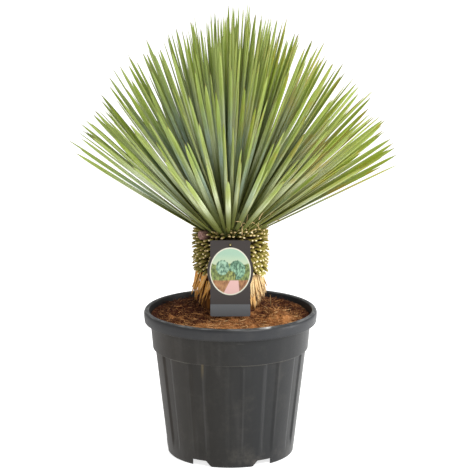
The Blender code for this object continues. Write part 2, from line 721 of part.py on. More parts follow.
def card_ring():
    """The card's outline, clockwise from its top: round corners, and an oval that stands out at the sides."""
    half, corner = LABEL_WIDTH / 2, LABEL_CORNER
    reach = math.sqrt(1 - (LABEL_WIDTH / LABEL_OVAL_WIDTH) ** 2) * LABEL_OVAL_HEIGHT / 2
    meet = math.asin(reach / (LABEL_OVAL_HEIGHT / 2))

    def arc(centre_x, centre_y, radius_x, radius_y, start, end, steps):
        for step in range(steps):
            angle = start + (end - start) * step / (steps - 1)
            yield centre_x + radius_x * math.cos(angle), centre_y + radius_y * math.sin(angle)

    def corner_arc(side_x, centre_y, start):
        centre_x, end = side_x * (half - corner), start - math.pi / 2
        return arc(centre_x, centre_y, corner, corner, start, end, LABEL_ARC_STEPS)

    def oval_arc(start, end):
        radii = (LABEL_OVAL_WIDTH / 2, LABEL_OVAL_HEIGHT / 2)
        return arc(0, -LABEL_OVAL_BELOW_TOP, *radii, start, end, LABEL_OVAL_STEPS)

    return [
        *corner_arc(1, -corner, math.pi / 2),
        *oval_arc(meet, -meet),
        *corner_arc(1, corner - LABEL_HEIGHT, 0),
        *corner_arc(-1, corner - LABEL_HEIGHT, -math.pi / 2),
        *oval_arc(math.pi + meet, math.pi - meet),
        *corner_arc(-1, -corner, math.pi),
    ]


def main():
    """Builds the potted yucca."""
    clear_scene()
    plant = new_collection("potted_beaked_yucca")
    cutters = new_collection("cutters")
    make_pot(plant, cutters)
    make_soil(plant)
    make_stem(plant)
    make_skirt(plant)
    make_crown(plant)
    make_label(plant)


main()
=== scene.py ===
import math
import random

import bpy
from mathutils import Matrix, Vector, noise


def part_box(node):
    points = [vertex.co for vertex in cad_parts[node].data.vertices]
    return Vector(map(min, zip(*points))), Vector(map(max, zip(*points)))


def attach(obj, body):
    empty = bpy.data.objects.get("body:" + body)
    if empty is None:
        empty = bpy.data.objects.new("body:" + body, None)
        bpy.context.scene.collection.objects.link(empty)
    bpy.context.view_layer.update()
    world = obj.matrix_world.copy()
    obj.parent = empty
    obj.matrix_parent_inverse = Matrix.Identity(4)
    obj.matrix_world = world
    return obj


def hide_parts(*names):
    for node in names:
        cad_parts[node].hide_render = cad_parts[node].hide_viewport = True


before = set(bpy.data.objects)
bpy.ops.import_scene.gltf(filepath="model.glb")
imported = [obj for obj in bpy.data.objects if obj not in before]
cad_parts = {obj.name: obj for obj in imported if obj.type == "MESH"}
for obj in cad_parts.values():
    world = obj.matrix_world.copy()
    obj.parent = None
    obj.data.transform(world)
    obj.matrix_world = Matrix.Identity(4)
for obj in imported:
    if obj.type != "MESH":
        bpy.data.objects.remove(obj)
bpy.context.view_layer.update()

# The nursery pot is one moulding in dark grey plastic. Its rim is rolled over, twelve raised panels stand
# between the shallow flutes of its side, and water leaves through its floor and between its six feet.
pot_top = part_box("pot")[1].z
rim_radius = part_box("pot")[1].x
rim_low = pot_top - 0.0215
crest_radius = rim_radius - 0.0050
rim_skin = 0.0029
neck_radius = 0.1415
neck_wall = 0.0022
collar_low = 0.190
collar_radius = 0.1368
panel_radius = 0.1333  # at the panels' tops
foot_radius = 0.1115
pot_wall = 0.0034
foot_wall = 0.0042
floor_top = 0.0155
floor_underside = 0.0125
foot_rounding = 0.0040
pot_steps = 480
panel_count = 12
panel_half = math.radians(8.6)
panel_edge = math.radians(2.6)
panel_phase = math.radians(18.3)
flute_depth = 0.0026
flute_fade = (0.018, 0.040)
front = -math.pi / 2
foot_phase = front + math.radians(1.4)
notch_height = 0.0112
notch_near = math.radians(23.3)
notch_far = math.radians(38.3)
notch_slant = math.radians(4.8)
notch_rounding = 0.0016
drain_count = 6
drain_radius = 0.0065
drain_circle = 0.082
middle_drain = 1.2  # its share of the others' radius
cutter_length = 0.02
drip_left = 0.048
drip_fall = 0.034
glint_right = 0.060


def arc(centre, radii, start, end, steps):
    """Points of (radius, height) along an arc, its angles in degrees."""
    for step in range(steps + 1):
        angle = math.radians(start + (end - start) * step / steps)
        yield centre[0] + radii[0] * math.cos(angle), centre[1] + radii[1] * math.sin(angle)


def around(radius, angle, height):
    """The point at that radius and angle round the pot's axis."""
    return Vector((radius * math.cos(angle), radius * math.sin(angle), height))


def chain(name, points):
    """A new object in edit mode, with one open chain of (radius, height) points drawn at +X."""
    bpy.ops.mesh.primitive_plane_add(size=0.001, location=(points[0][0], 0, points[0][1]))
    bpy.ops.object.transform_apply(location=True)
    piece = bpy.context.object
    piece.name = piece.data.name = name
    bpy.ops.object.mode_set(mode="EDIT")
    bpy.ops.mesh.merge(type="CENTER")
    for near, far in zip(points, points[1:]):
        step = (far[0] - near[0], 0, far[1] - near[1])
        bpy.ops.mesh.extrude_region_move(TRANSFORM_OT_translate={"value": step})
    return piece


def turn(piece, steps):
    """Spins the chain that is being edited round the pot's axis, and closes it."""
    bpy.ops.mesh.select_all(action="SELECT")
    bpy.ops.mesh.spin(steps=steps, angle=math.tau, center=(0, 0, 0), axis=(0, 0, 1))
    bpy.ops.mesh.select_all(action="SELECT")
    bpy.ops.mesh.remove_doubles(threshold=0.00001)
    bpy.ops.mesh.normals_make_consistent(inside=False)
    bpy.ops.object.mode_set(mode="OBJECT")


def smooth_step(low, high, value):
    """0 below low and 1 above high, with a smooth rise between them."""
    share = min(max((value - low) / (high - low), 0.0), 1.0)
    return share * share * (3 - 2 * share)


def side_radius(height):
    """The pot's outer radius on its raised panels."""
    return foot_radius + (panel_radius - foot_radius) * height / collar_low


panel_rings = [(side_radius(height), height) for height in (
    collar_low - 0.0004 - step / 24 * (collar_low - 0.0064) for step in range(25))]
pot = chain("nursery_pot", [
    (0, floor_top),
    (0.070, floor_top),
    *arc((side_radius(floor_top) - pot_wall - 0.003, floor_top + 0.003), (0.003, 0.003), -90, 0, 4),
    (panel_radius - pot_wall, collar_low - 0.001),
    (neck_radius - neck_wall, rim_low),
    *arc((crest_radius - 0.0009, pot_top - 0.0033), (0.0033, 0.0033), 180, 90, 5),
    *arc((crest_radius, pot_top - 0.0072), (rim_radius - crest_radius, 0.0072), 84, 0, 7),
    (rim_radius - 0.0003, pot_top - 0.0130),
    *arc((rim_radius - 0.0021, rim_low + 0.0010), (0.0010, 0.0010), 0, -180, 5),
    *arc((rim_radius - rim_skin - 0.0010, pot_top - 0.0065), (0.0009, 0.0009), 0, 90, 2),
    (neck_radius + 0.0012, pot_top - 0.0056),
    (neck_radius, rim_low),
    (neck_radius - 0.0012, rim_low - 0.010),
    (collar_radius + 0.0008, collar_low + 0.009),
    *arc((collar_radius - 0.0010, collar_low + 0.0012), (0.0012, 0.0012), 5, -90, 4),
    *panel_rings,
    *arc((side_radius(foot_rounding) - foot_rounding, foot_rounding), (foot_rounding,) * 2, -8, -82, 6),
    (foot_radius - foot_wall, 0),
    (foot_radius - foot_wall, floor_underside),
    (0.070, floor_underside),
    (0, floor_underside),
])
turn(pot, pot_steps)
for vertex in pot.data.vertices:
    radius, height = math.hypot(vertex.co.x, vertex.co.y), vertex.co.z
    if flute_fade[0] < height < collar_low - 0.0002 and radius > side_radius(height) - 0.0005:
        angle = (math.atan2(vertex.co.y, vertex.co.x) - panel_phase) % (math.tau / panel_count)
        away = min(angle, math.tau / panel_count - angle)
        sunk = flute_depth * smooth_step(panel_half, panel_half + panel_edge, away)
        sunk *= smooth_step(*flute_fade, height)
        vertex.co.xy *= (radius - sunk) / radius


def notch_cutter(angle, leaning_side):
    """A block that cuts one notch out of the foot ring. One of its sides leans, and its top is rounded."""
    half = (notch_far - notch_near) / 2 * foot_radius
    bpy.ops.mesh.primitive_cube_add(
        size=1, location=(foot_radius, 0, 0), scale=(1.5 * cutter_length, 2 * half, 2 * notch_height))
    bpy.ops.object.transform_apply(location=True, scale=True)
    cutter = bpy.context.object
    for vertex in cutter.data.vertices:
        if vertex.co.z < 0 and vertex.co.y * leaning_side > 0:
            vertex.co.y += leaning_side * 2 * notch_slant * foot_radius
    for edge in cutter.data.edges:
        ends = [cutter.data.vertices[index].co for index in edge.vertices]
        edge.select = all(end.z > 0 for end in ends) and abs(ends[0].y - ends[1].y) < 0.001
    bpy.ops.object.mode_set(mode="EDIT")
    bpy.ops.mesh.bevel(offset=notch_rounding, segments=4)
    bpy.ops.object.mode_set(mode="OBJECT")
    cutter.data.transform(Matrix.Rotation(angle, 4, "Z"))
    return cutter


def drain_cutter(radius, angle, size):
    """A rod that cuts one drain hole through the pot's floor."""
    place = around(radius, angle, floor_underside)
    bpy.ops.mesh.primitive_cylinder_add(vertices=32, radius=size, depth=cutter_length, location=place)
    bpy.ops.object.transform_apply(location=True)
    return bpy.context.object


def cut(piece, cutters):
    """Cuts every cutter out of the piece, and removes them."""
    bpy.ops.object.select_all(action="DESELECT")
    for cutter in cutters:
        cutter.select_set(True)
    bpy.context.view_layer.objects.active = cutters[0]
    bpy.ops.object.join()
    block = bpy.context.object
    bpy.context.view_layer.objects.active = piece
    modifier = piece.modifiers.new("cut", "BOOLEAN")
    modifier.operation = "DIFFERENCE"
    modifier.object = block
    bpy.ops.object.modifier_apply(modifier=modifier.name)
    bpy.data.objects.remove(block)


pot_cutters = [drain_cutter(0, 0, drain_radius * middle_drain)]
for hole in range(drain_count):
    pot_cutters.append(drain_cutter(drain_circle, foot_phase + hole * math.tau / drain_count, drain_radius))
for foot in range(3):
    for side in (-1, 1):
        middle = foot_phase + foot * math.tau / 3 + side * (notch_near + notch_far) / 2
        pot_cutters.append(notch_cutter(middle, -side))
cut(pot, pot_cutters)


class Value:
    """A number, colour or vector in a finish. Python's operators on it add the nodes that work it out."""

    def __init__(self, finish, socket):
        self.finish = finish
        self.socket = socket

    def calculate(self, operation, *numbers):
        """A Math node on these numbers and values."""
        return self.finish.node("ShaderNodeMath", {"operation": operation}, dict(enumerate(numbers)))

    def __add__(self, other):
        return self.calculate("ADD", self, other)

    def __sub__(self, other):
        return self.calculate("SUBTRACT", self, other)

    def __rsub__(self, other):
        return self.calculate("SUBTRACT", other, self)

    def __mul__(self, other):
        return self.calculate("MULTIPLY", self, other)

    def __pow__(self, other):
        return self.calculate("POWER", self, other)

    def __abs__(self):
        return self.calculate("ABSOLUTE", self)

    __radd__ = __add__
    __rmul__ = __mul__

    def rise(self, low, high):
        """0 where the value is at low and 1 where it is at high, with a smooth rise between them."""
        stops = {"Value": self, "From Min": low, "From Max": high}
        return self.finish.node("ShaderNodeMapRange", {"interpolation_type": "SMOOTHSTEP"}, stops)


class Finish:
    """A material with one Principled shader, and the values that feed it."""

    def __init__(self, name):
        self.material = bpy.data.materials.new(name)
        self.material.use_nodes = True
        self.tree = self.material.node_tree
        self.shader = self.tree.nodes["Principled BSDF"]

    def node(self, kind, settings, inputs, output=0):
        """Adds a node, makes its settings, feeds its inputs, and gives one of its outputs."""
        made = self.tree.nodes.new(kind)
        for name, setting in settings.items():
            setattr(made, name, setting)
        for name, value in inputs.items():
            self.feed(made.inputs[name], value)
        return Value(self, made.outputs[output])

    def feed(self, socket, value):
        if isinstance(value, Value):
            self.tree.links.new(value.socket, socket)
        else:
            socket.default_value = value

    def place(self, stretch=(1, 1, 1), source="Object"):
        """Object coordinates or the UV map, stretched for a pattern with a grain."""
        where = self.node("ShaderNodeTexCoord", {}, {}, source)
        return self.node("ShaderNodeMapping", {}, {"Vector": where, "Scale": stretch})

    def parts(self, vector):
        """The X, Y and Z values of a vector."""
        return [self.node("ShaderNodeSeparateXYZ", {}, {0: vector}, output) for output in range(3)]

    def cloud(self, scale, detail=3.0, rough=0.5, stretch=(1, 1, 1), source="Object"):
        """Noise from 0 to 1, about 0.5 on average."""
        where = self.place(stretch, source)
        inputs = {"Vector": where, "Scale": scale, "Detail": detail, "Roughness": rough}
        return self.node("ShaderNodeTexNoise", {}, inputs)

    def mix(self, share, low, high):
        """The colour low where share is 0, and high where it is 1."""
        return self.node("ShaderNodeMix", {"data_type": "RGBA"}, {0: share, 6: low, 7: high}, 2)

    def bump(self, height, strength, distance):
        return self.node("ShaderNodeBump", {}, {"Height": height, "Strength": strength, "Distance": distance})

    def attribute(self, name):
        return self.node("ShaderNodeAttribute", {"attribute_name": name}, {}, "Fac")

    def use(self, **inputs):
        """Feeds the shader. A name's underscores stand for spaces."""
        for name, value in inputs.items():
            self.feed(self.shader.inputs[name.replace("_", " ")], value)

    def coat(self, piece):
        piece.data.materials.append(self.material)


def rgb(red, green, blue):
    """A display colour from 0 to 255 as the linear one that a shader takes."""
    def linear(part):
        part = part / 255
        return part / 12.92 if part <= 0.04045 else ((part + 0.055) / 1.055) ** 2.4
    return (linear(red), linear(green), linear(blue), 1.0)


plastic = Finish("pot_plastic")
across, depth, height = plastic.parts(plastic.place())
flow = plastic.cloud(9, 4, 0.6, (1, 1, 0.22))
streaks_and_sheen = plastic.cloud(64, 2, 0.5, (1, 1, 0.05))
dust = plastic.cloud(26, 6, 0.7).rise(0.46, 0.80)
scratches = plastic.cloud(190, 4, 0.7, (0.14, 0.14, 1.5))
colour = plastic.mix(flow.rise(0.30, 0.70), rgb(20, 18, 15), rgb(33, 32, 30))
# Lighter vertical streaks: partly flow marks of the moulding, partly a painted reflection.
colour = plastic.mix(streaks_and_sheen.rise(0.48, 0.80) * 0.35, colour, rgb(64, 62, 60))
scuffed = scratches.rise(0.60, 0.72) * height.rise(collar_low, rim_low)
colour = plastic.mix(scuffed * 0.35, colour, rgb(88, 86, 82))
# The right half is painted a cooler grey: a painted sheen from the light on that side.
colour = plastic.mix(across.rise(-0.04, 0.06) * 0.6, colour, rgb(27, 30, 34))
# The left side, away from the lamps, is painted darker and browner: painted shade. It is also made more matte
# there.
left_shade = (0 - across).rise(0.02, 0.15) * (0.3 + 0.5 * plastic.cloud(14, 4))
colour = plastic.mix(left_shade, colour, rgb(36, 26, 14))
# The rolled rim is painted a lighter, bluish grey: a painted sheen.
colour = plastic.mix(height.rise(rim_low - 0.002, rim_low + 0.004) * 0.6, colour, rgb(47, 49, 53))
turned = depth.calculate("ARCTAN2", depth, across)
panels_passed = (turned - panel_phase) * (panel_count / math.tau)
from_flute = abs(panels_passed.calculate("FRACT", panels_passed) - 0.5)
panel_rim = 0.5 - panel_half * panel_count / math.tau
# Both edges of each raised panel are painted lighter, in patches: painted highlights.
flute_edge_highlight = from_flute.rise(panel_rim - 0.02, panel_rim + 0.01)
flute_edge_highlight = flute_edge_highlight * (1 - from_flute.rise(panel_rim + 0.01, panel_rim + 0.07))
on_side = height.rise(0.02, 0.06) * (1 - height.rise(collar_low - 0.012, collar_low))
colour = plastic.mix(flute_edge_highlight * on_side * flow.rise(0.42, 0.60) * 0.24, colour, rgb(78, 78, 78))
# A lighter line along the ledge at the panels' tops, in patches: a painted highlight.
ledge_highlight = 1 - abs(height - collar_low + 0.0006).rise(0.0004, 0.0022)
colour = plastic.mix(ledge_highlight * flow.rise(0.38, 0.56) * 0.32, colour, rgb(104, 100, 90))
in_front = 1 - depth.rise(-0.02, 0.0)
drip = in_front * (1 - abs(across + drip_left).rise(0.0006, 0.0032))
drip = drip * height.rise(collar_low - drip_fall, collar_low - 0.003)
drip = drip * (1 - height.rise(collar_low, collar_low + 0.003))
colour = plastic.mix(drip * 0.36, colour, rgb(116, 100, 58))
low_dust = (1 - height.rise(0.0, 0.05)) * 0.18 + 0.08
colour = plastic.mix(dust * low_dust, colour, rgb(118, 112, 102))
# The rim's top edge is painted lighter, most where scratches run: partly scuffed wear, partly a painted
# highlight. It is also made glossier there.
crest = height.rise(pot_top - 0.0030, pot_top - 0.0008)
colour = plastic.mix(crest * (0.15 + 0.9 * scratches.rise(0.45, 0.65)), colour, rgb(112, 113, 114))
glint = crest * in_front * (1 - abs(across - glint_right).rise(0.004, 0.014))
colour = plastic.mix(glint * scratches.rise(0.40, 0.60), colour, rgb(206, 206, 204))
grain = plastic.cloud(900, 3, 0.6) + 1.5 * plastic.cloud(60, 2, 0.5, (1, 1, 0.3))
plastic.use(
    Base_Color=colour,
    Roughness=0.27 + 0.18 * flow + 0.25 * dust * low_dust - 0.10 * crest + 0.3 * left_shade,
    Normal=plastic.bump(grain, 0.25, 0.0004),
    Specular_IOR_Level=0.26,
    Specular_Tint=(1.0, 0.985, 0.96, 1.0),
)
plastic.coat(pot)
pot.select_set(True)
bpy.ops.object.shade_smooth_by_angle(angle=math.radians(32))
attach(pot, "root")
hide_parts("pot")

# The coir bed is brown coconut fibre, pressed in by hand round the roots: a crumbly mound at the trunk, two
# larger clods, and a little lower at the pot's wall. It is painted darker towards the back, at the left and
# on
# the left clod: painted shade.
soil_level = 0.2475
soil_tilt = 0.040
soil_clods = (  # x, y, rise, spread
    (-0.084, 0.004, 0.022, 0.024),
    (0.088, -0.050, 0.020, 0.024),
    (0.020, 0.104, 0.006, 0.040),
    (-0.040, -0.105, 0.004, 0.035),
    (0.112, 0.035, -0.006, 0.030),
)
mound_rise = 0.021
mound_spread = 0.030
trunk_radius = 0.050
soil_hole = trunk_radius + 0.0008
hole_floor = 0.1497
soil_edge = neck_radius - neck_wall + 0.0009
soil_steps = 320
soil_rings = 96
soil_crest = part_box("soil")[1].z
crumb_room = 0.0015
crumb_height = 0.0026
pit_depth = 0.0018
edge_rise = 0.0115  # above the rim's underside
edge_slope_radius = 0.125
shaded_clod = (-0.078, 0.0)
dry_clod = soil_clods[1][:2]


def coir_height(x, y):
    """The coir's surface, without its crumbs."""
    radius = math.hypot(x, y)
    level = soil_level + soil_tilt * y
    level += mound_rise * math.exp(-(((radius - trunk_radius) / mound_spread) ** 2))
    for clod_x, clod_y, rise, spread in soil_clods:
        level += rise * math.exp(-((math.hypot(x - clod_x, y - clod_y) / spread) ** 2))
    return min(level, soil_crest - crumb_room, rim_low + edge_rise + max(0.0, edge_slope_radius - radius))


def crumbs(x, y):
    """The relief of the crumbs and fibres on the coir, about nought on average."""
    spot = Vector((x, y, 0.0))
    lumps = noise.fractal(spot * 70, 0.9, 2.1, 4) * crumb_height
    pits = abs(noise.noise(spot * 240 + Vector((7, 3, 1)))) * pit_depth
    return lumps - pits + 0.0004


coir = chain("coir_bed", [
    (0, hole_floor),
    (soil_hole, hole_floor),
    (soil_hole, soil_level),
    *[(soil_hole + (soil_edge - soil_hole) * ring / soil_rings, soil_level)
      for ring in range(1, soil_rings + 1)],
    (soil_edge - 0.0010, rim_low),
    (panel_radius - pot_wall - 0.001, collar_low - 0.001),
    (side_radius(floor_top) - pot_wall - 0.0035, floor_top + 0.0035),
    (0, floor_top + 0.0003),
])
turn(coir, soil_steps)
for vertex in coir.data.vertices:
    if abs(vertex.co.z - soil_level) < 0.00001:
        x, y = vertex.co.xy
        at_wall = smooth_step(soil_edge - 0.004, soil_edge, math.hypot(x, y))
        vertex.co.z = min(coir_height(x, y) + crumbs(x, y) * (1 - at_wall), soil_crest)

earth = Finish("coir")
right, back, _ = earth.parts(earth.place())
clump = earth.cloud(55, 5, 0.65)
grit = earth.cloud(420, 3, 0.6, (1, 0.35, 0.6))
from_shaded_clod = ((right - shaded_clod[0]) ** 2 + (back - shaded_clod[1]) ** 2) ** 0.5
from_dry = ((right - dry_clod[0]) ** 2 + (back - dry_clod[1]) ** 2) ** 0.5
# The coir's clumps vary in tone on their own. On top of that, the bed is painted darker towards the back, at
# the left and on the left clod: painted shade.
dryness_and_shade = clump + (1 - back.rise(-0.15, -0.02)) * 0.42 - 0.12 - 0.10 * (1 - right.rise(-0.10, 0.05))
dryness_and_shade = dryness_and_shade - 0.45 * (1 - from_shaded_clod.rise(0.020, 0.036)) + 0.16 * (1 - from_dry.rise(0.018, 0.034))
clod_edge = from_shaded_clod.rise(0.026, 0.031) * (1 - from_shaded_clod.rise(0.034, 0.041))
clod_edge = clod_edge * (1 - right.rise(-0.09, -0.07)) * clump.rise(0.46, 0.60)
dryness_and_shade = (dryness_and_shade + 0.45 * clod_edge).rise(0.34, 0.72)
colour = earth.mix(dryness_and_shade, rgb(64, 24, 9), rgb(188, 126, 74))
colour = earth.mix(grit.rise(0.50, 0.72) * (0.25 + 0.6 * dryness_and_shade), colour, rgb(228, 176, 124))
colour = earth.mix((1 - grit).rise(0.58, 0.76) * 0.6, colour, rgb(46, 18, 9))
earth.use(
    Base_Color=colour,
    Roughness=0.9,
    Normal=earth.bump(grit + 0.7 * earth.cloud(1500, 2), 0.8, 0.0015),
    Specular_IOR_Level=0.2,
)
earth.coat(coir)
coir.data.shade_smooth()
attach(coir, "root")
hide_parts("soil")

# Loose fibres of the coir lie over the bed in every direction, some of them curling up from it, and broader
# shreds of husk lie between them, most of them in front. Each is curved, and thickest in its middle.
fibre_count = 5200
fibre_length = (0.006, 0.026)
fibre_thickness = (0.00020, 0.00046)
fibre_curl = (0.4, 2.6)
fibre_room = (0.004, 0.006)  # from the trunk's hole, from the bed's edge
fibre_end_room = (0.003, 0.003)
shred_count = 620
shred_length = (0.008, 0.026)
shred_thickness = (0.0008, 0.0017)
shred_curl = (0.4, 2.2)
shred_room = (0.014, 0.012)
shred_end_room = (0.012, 0.008)


def model_strand(name, sides, stations):
    """A shape along +Z from 0 to 1, through (height, width, thickness) stations, pointed at its top."""
    bpy.ops.mesh.primitive_circle_add(vertices=sides, radius=0.5, fill_type="NGON")
    model = bpy.context.object
    model.name = model.data.name = name
    bpy.ops.object.mode_set(mode="EDIT")
    height, width, thickness = stations[0]
    bpy.ops.transform.translate(value=(0, 0, height))
    bpy.ops.transform.resize(value=(width, thickness, 1))
    for station in stations[1:]:
        rise = (0, 0, station[0] - height)
        bpy.ops.mesh.extrude_region_move(TRANSFORM_OT_translate={"value": rise})
        bpy.ops.transform.resize(value=(station[1] / width, station[2] / thickness, 1))
        height, width, thickness = station
    bpy.ops.mesh.extrude_region_move(TRANSFORM_OT_translate={"value": (0, 0, 1 - height)})
    bpy.ops.mesh.merge(type="CENTER")
    bpy.ops.mesh.select_all(action="SELECT")
    bpy.ops.mesh.normals_make_consistent(inside=False)
    bpy.ops.object.mode_set(mode="OBJECT")
    layer = model.data.uv_layers.active or model.data.uv_layers.new(name="UVMap")
    widths = {round(height, 3): width for height, width, _ in stations}
    for loop in model.data.loops:
        point = model.data.vertices[loop.vertex_index].co
        layer.data[loop.index].uv = (0.5 + point.x / widths.get(round(point.z, 3), 1.0), point.z)
    model.data.attributes.new("tone", "FLOAT", "FACE")
    return model


def copy_of(model, place, tone):
    """One more copy of a modelled shape, with its own mesh: place moves its points, and tone tints it."""
    mesh = model.data.copy()
    mesh.vertices.foreach_set("co", [part for vertex in model.data.vertices for part in place(vertex.co)])
    mesh.attributes["tone"].data.foreach_set("value", [tone] * len(mesh.polygons))
    copy = bpy.data.objects.new(model.name, mesh)
    bpy.context.collection.objects.link(copy)
    return copy


def joined(name, model, copies):
    """The copies as one smooth piece. The model that they were made from is removed."""
    bpy.data.objects.remove(model)
    bpy.ops.object.select_all(action="DESELECT")
    for copy in copies:
        copy.select_set(True)
    bpy.context.view_layer.objects.active = copies[0]
    bpy.ops.object.join()
    piece = bpy.context.object
    piece.name = piece.data.name = name
    return piece


def curl_along(start, along, across, length, thickness, curl):
    """A function that lays a strand's points along a curl."""
    upward = across.cross(along)

    def place(point):
        turned = curl * point.z
        reach = math.sin(turned) / curl * length
        rise = (1 - math.cos(turned)) / curl * length
        normal = across * math.cos(turned) - along * math.sin(turned)
        return start + along * reach + across * rise + (normal * point.x + upward * point.y) * thickness
    return place


def on_bed(x, y, room):
    """Whether a point lies on the bed, with that room to the trunk's hole and to the bed's edge."""
    return soil_hole + room[0] < math.hypot(x, y) < soil_edge - room[1]


hair = model_strand("hair", 3, [(0, 0.3, 0.3), (0.25, 0.9, 0.9), (0.5, 1.0, 1.0), (0.8, 0.8, 0.8)])
draw = random.Random(21)
fibres = []
while len(fibres) < fibre_count:
    x, y = draw.uniform(-soil_edge, soil_edge), draw.uniform(-soil_edge, soil_edge)
    if not on_bed(x, y, fibre_room):
        continue
    heading = draw.uniform(0, math.tau)
    lift = math.radians(draw.triangular(-6, 38, 2))
    along = around(math.cos(lift), heading, math.sin(lift))
    across = Vector((-math.sin(heading), math.cos(heading), draw.uniform(-0.9, 0.2))).normalized()
    across = (across - along * across.dot(along)).normalized()
    start = Vector((x, y, coir_height(x, y) + crumbs(x, y) - 0.0006))
    curl = draw.choice((-1, 1)) * draw.uniform(*fibre_curl)
    length = draw.uniform(*fibre_length) * draw.uniform(0.4, 1.0)
    end = start + along * length
    if not on_bed(end.x, end.y, fibre_end_room):
        continue
    # Fibres are painted darker towards the back, a painted shade under the crown, with a random spread of
    # tone.
    tone = min(1.0, max(0.0, 0.12 - 4.2 * y + draw.uniform(-0.30, 0.55)))
    place = curl_along(start, along, across, length, draw.uniform(*fibre_thickness) * (2 - tone), curl)
    fibres.append(copy_of(hair, place, tone))
fibres = joined("coir_fibres", hair, fibres)

shred = model_strand("shred", 4, [(0, 0.3, 0.2), (0.2, 0.9, 0.6), (0.5, 1.0, 0.7), (0.8, 0.8, 0.5)])
shreds = []
while len(shreds) < shred_count:
    x, y = draw.uniform(-soil_edge, soil_edge), draw.triangular(-soil_edge, soil_edge, -soil_edge * 0.7)
    if not on_bed(x, y, shred_room):
        continue
    heading = draw.uniform(0, math.tau)
    lift = math.radians(draw.uniform(-3, 14))
    along = around(math.cos(lift), heading, math.sin(lift))
    across = Vector((-math.sin(heading), math.cos(heading), 0))
    length = draw.uniform(*shred_length)
    end = Vector((x, y, 0)) + along * length
    if not on_bed(end.x, end.y, shred_end_room):
        continue
    start = Vector((x, y, coir_height(x, y) + crumbs(x, y) - 0.0002))
    # Shreds are painted paler towards the front and the right and darker towards the back: painted light and
    # shade, with a random spread of tone.
    tone = min(1.0, max(0.0, 0.22 - 3.6 * y + 1.6 * x + draw.uniform(-0.35, 0.55)))
    thickness = draw.uniform(*shred_thickness)
    curl = draw.choice((-1, 1)) * draw.uniform(*shred_curl)
    shreds.append(copy_of(shred, curl_along(start, along, across, length, thickness, curl), tone))
shreds = joined("coir_shreds", shred, shreds)

fibre_finish = Finish("coir_fibre")
tone = fibre_finish.attribute("tone")
colour = fibre_finish.mix(tone.rise(0.05, 0.75), rgb(82, 38, 18), rgb(220, 158, 98))
colour = fibre_finish.mix(tone.rise(0.80, 1.0), colour, rgb(236, 196, 142))
fibre_finish.use(Base_Color=colour, Roughness=0.8, Specular_IOR_Level=0.25)
for piece in (fibres, shreds):
    fibre_finish.coat(piece)
    piece.data.shade_smooth()
    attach(piece, "root")
    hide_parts("soil")

# The trunk is the plant's own stem. A grower has cut the old leaves short, and their stubs stand out from it
# in one close spiral, olive with pale dry ends. The top ones still point up, the lowest ones droop, and short
# young ones crowd under the crown.
trunk_foot = 0.150
trunk_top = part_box("stem")[1].z
rough_from = 0.310  # the skirt hides the bark below it
stubs_per_turn = 41.5
stub_turn_pitch = 0.0073
label_stub_height = 0.3889
label_stub_reach = 0.0272
label_stub_size = (0.62, 0.62)
turns_above_label_stub = 2
stub_turns = 10
stub_reach = 0.0190
stub_root = 0.002  # inside the trunk
stub_middle_radius = 0.060
bare_left_turn = 7.0  # the skirt reaches higher at the left
young_stub_count = 110
young_stub_heights = (0.392, 0.407)
young_stub_reach = (0.010, 0.016)
young_stub_size = (0.8, 0.8)
young_stub_rise = (28, 52)
young_stub_room = 0.016  # from the stump's middle
stub_droop = math.radians(26)
stub_rise = math.radians(18)
stump_angle = math.radians(-142)
stump_height = 0.3975
stump_radius = 0.0080
stump_reach = 0.0180


trunk = chain("trunk", [
    (0, trunk_top),
    (trunk_radius - 0.003, trunk_top),
    *[(trunk_radius, trunk_top - 0.002 - step * 0.002) for step in range(40)],
    (trunk_radius, trunk_foot + 0.012),
    (trunk_radius - 0.012, trunk_foot),
    (0, trunk_foot),
])
turn(trunk, 120)
for vertex in trunk.data.vertices:
    if trunk_top - 0.001 > vertex.co.z > rough_from:
        vertex.co.xy *= 1 - 0.02 * abs(noise.noise(vertex.co * 160))

stub = model_strand("stub", 8, [
    (0, 8.6, 5.6), (0.30, 7.4, 4.7), (0.60, 6.2, 3.9), (0.84, 5.2, 3.2), (0.95, 4.6, 2.7), (0.99, 4.1, 2.3)])
draw = random.Random(8)
stubs = []


def stub_place(root, along, size, reach):
    """A function that puts a stub's points at its place. The model is in millimetres across."""
    side = Vector((-root.y, root.x, 0)).normalized()
    upward = along.cross(side)

    def place(point):
        sag = upward * 0.0014 * math.sin(point.z * math.pi)
        centre = root + along * (reach * point.z) + sag
        return centre + side * (point.x * 0.001 * size[0]) + upward * (point.y * 0.001 * size[1])
    return place


def from_stump(angle, height):
    """How far a stub stands from the flower stalk's stump, measured round the trunk."""
    turned = (angle - stump_angle + math.pi) % math.tau - math.pi
    return math.hypot(turned * stub_middle_radius, height - stump_height)


